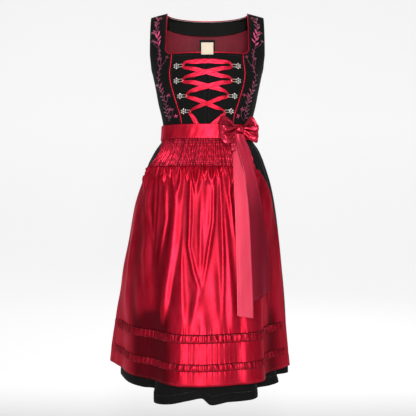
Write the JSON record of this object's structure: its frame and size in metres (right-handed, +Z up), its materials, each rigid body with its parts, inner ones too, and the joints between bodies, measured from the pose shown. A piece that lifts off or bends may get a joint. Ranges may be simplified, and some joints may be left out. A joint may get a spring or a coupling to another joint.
{
  "type": "dirndl",
  "caption": "Laced midi dirndl with its smocked satin apron and side bow, in its worn, hollow form.",
  "frame": {"origin": "midway between the two shoulder straps, at the height where their undersides rest on the shoulders", "axes": "+Z up, the front of the dress faces -Y, +X to the right of someone who looks at the front"},
  "size_m": [0.5168, 0.4885, 1.0617],
  "materials": {
    "black_cloth": "matt woven",
    "maroon_lining": "smooth lining",
    "red_satin": "satin",
    "lace_satin": "satin ribbon",
    "red_piping": "satin piping",
    "old_silver": "old silver",
    "cream_label": "woven label"
  },
  "bodies": {
    "root": {"centre_front_left": "black_cloth", "centre_front_right": "black_cloth", "side_front_left": "black_cloth", "side_front_right": "black_cloth", "back_centre": "black_cloth", "back_side_left": "black_cloth", "back_side_right": "black_cloth", "back_facing": "black_cloth", "label_tab": "black_cloth", "skirt_front": "black_cloth", "skirt_back": "black_cloth", "back_lining": "maroon_lining", "apron_waistband": "red_satin", "apron_tie_back": "red_satin", "apron_smocking": "red_satin", "apron_panel": "red_satin", "apron_ruche_upper": "red_satin", "apron_ruche_lower": "red_satin", "bow_knot": "red_satin", "bow_loop_left": "red_satin", "bow_loop_right": "red_satin", "bow_tail_front": "red_satin", "bow_tail_back": "red_satin", "lace_top": "lace_satin", "lace_1_down_right": "lace_satin", "lace_1_down_left": "lace_satin", "lace_2_down_right": "lace_satin", "lace_2_down_left": "lace_satin", "lace_3_down_right": "lace_satin", "lace_3_down_left": "lace_satin", "lace_end_left": "lace_satin", "lace_end_right": "lace_satin", "neck_piping_front": "red_piping", "neck_piping_back": "red_piping", "front_piping_left": "red_piping", "front_piping_right": "red_piping", "hook_left_1": "old_silver", "hook_right_1": "old_silver", "hook_left_2": "old_silver", "hook_right_2": "old_silver", "hook_left_3": "old_silver", "hook_right_3": "old_silver", "hook_left_4": "old_silver", "hook_right_4": "old_silver", "label": "cream_label"}
  },
  "joints": []
}
